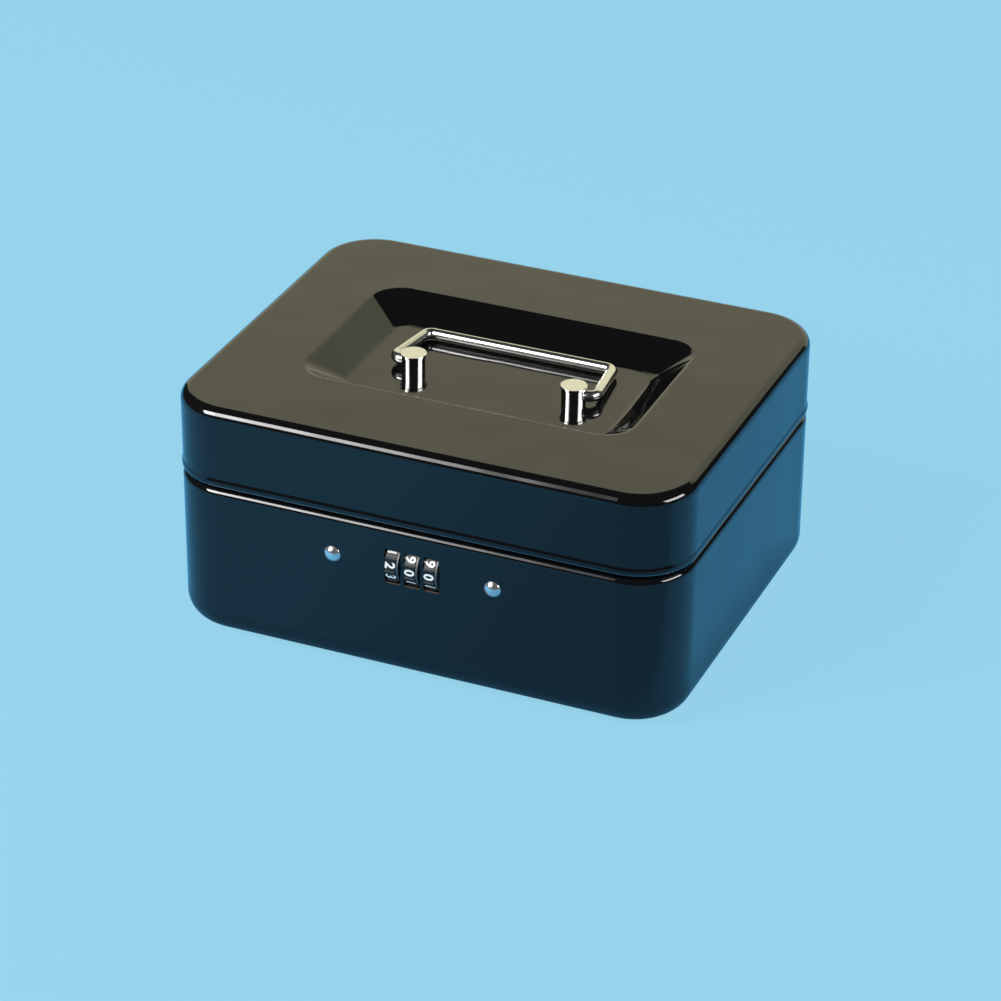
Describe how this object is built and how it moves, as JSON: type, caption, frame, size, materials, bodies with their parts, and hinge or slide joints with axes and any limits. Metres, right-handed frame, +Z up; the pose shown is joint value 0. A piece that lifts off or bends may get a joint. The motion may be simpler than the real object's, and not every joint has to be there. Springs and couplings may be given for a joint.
{
  "type": "cash box",
  "caption": "Small rectangular steel cash box with a hinged lid, a folding wire handle in a sunk panel, a dial combination lock and a lift-out coin tray.",
  "frame": {"origin": "middle of the flat underside", "axes": "+Z up, -Y towards the front with the dials, +X to the right seen from the front"},
  "size_m": [0.1504, 0.1242, 0.0708],
  "materials": {
    "black_enamel": "baked gloss black enamel on pressed steel",
    "chrome_plate": "bright chrome plate",
    "plated_steel": "bright zinc plate",
    "zinc_casting": "die-cast zinc, matt",
    "spring_steel": "spring steel",
    "dial_plastic": "moulded black plastic, satin",
    "sleeve_nickel": "nickel-plated brass",
    "slider_plastic": "moulded black plastic",
    "tray_plastic": "moulded black plastic, fine grain"
  },
  "bodies": {
    "base": {"base_shell": "black_enamel", "hinge_base_leaf": "black_enamel", "hinge_pin": "plated_steel", "lock_case": "zinc_casting", "lock_cover": "plated_steel", "cover_screws": "plated_steel", "lock_rivets": "chrome_plate", "dial_spacers": "plated_steel", "detent_spring": "spring_steel", "bolt_spring": "spring_steel"},
    "lid": {"lid_shell": "black_enamel", "hinge_lid_leaf": "black_enamel", "lid_catch": "black_enamel", "handle_post_left": "chrome_plate", "handle_post_right": "chrome_plate", "handle_washers": "plated_steel", "handle_nuts": "plated_steel"},
    "handle": {"handle_bail": "chrome_plate"},
    "dial_1": {"dial_ring_1": "dial_plastic", "code_sleeve_1": "sleeve_nickel"},
    "dial_2": {"dial_ring_2": "dial_plastic", "code_sleeve_2": "sleeve_nickel"},
    "dial_3": {"dial_ring_3": "dial_plastic", "code_sleeve_3": "sleeve_nickel"},
    "bolt": {"bolt_spindle": "plated_steel"},
    "code": {"code_slider": "slider_plastic"},
    "tray": {"coin_tray": "tray_plastic"}
  },
  "joints": [
    {"name": "lid_hinge", "type": "hinge", "parent": "base", "child": "lid", "pos_m": [0, 0.0605, 0.0469], "axis": [-1, 0, 0], "range_deg": [0, 105]},
    {"name": "handle_swing", "type": "hinge", "parent": "lid", "child": "handle", "pos_m": [0, -0.0049, 0.0674], "axis": [1, 0, 0], "range_deg": [0, 175]},
    {"name": "dial_1_turn", "type": "hinge", "parent": "base", "child": "dial_1", "pos_m": [-0.0057, -0.055, 0.0346], "axis": [1, 0, 0], "continuous": true},
    {"name": "dial_2_turn", "type": "hinge", "parent": "base", "child": "dial_2", "pos_m": [0, -0.055, 0.0346], "axis": [1, 0, 0], "continuous": true},
    {"name": "dial_3_turn", "type": "hinge", "parent": "base", "child": "dial_3", "pos_m": [0.0057, -0.055, 0.0346], "axis": [1, 0, 0], "continuous": true},
    {"name": "bolt_slide", "type": "slide", "parent": "base", "child": "bolt", "axis": [1, 0, 0], "range_m": [0, 0.0028], "stiffness_N_per_m": 400, "springref_m": 0.006, "deforming": ["bolt_spring"]},
    {"name": "code_slide", "type": "slide", "parent": "base", "child": "code", "axis": [1, 0, 0], "range_m": [0, 0.004]},
    {"name": "tray_lift", "type": "slide", "parent": "base", "child": "tray", "axis": [0, 0, 1], "range_m": [0, 0.005]}
  ]
}
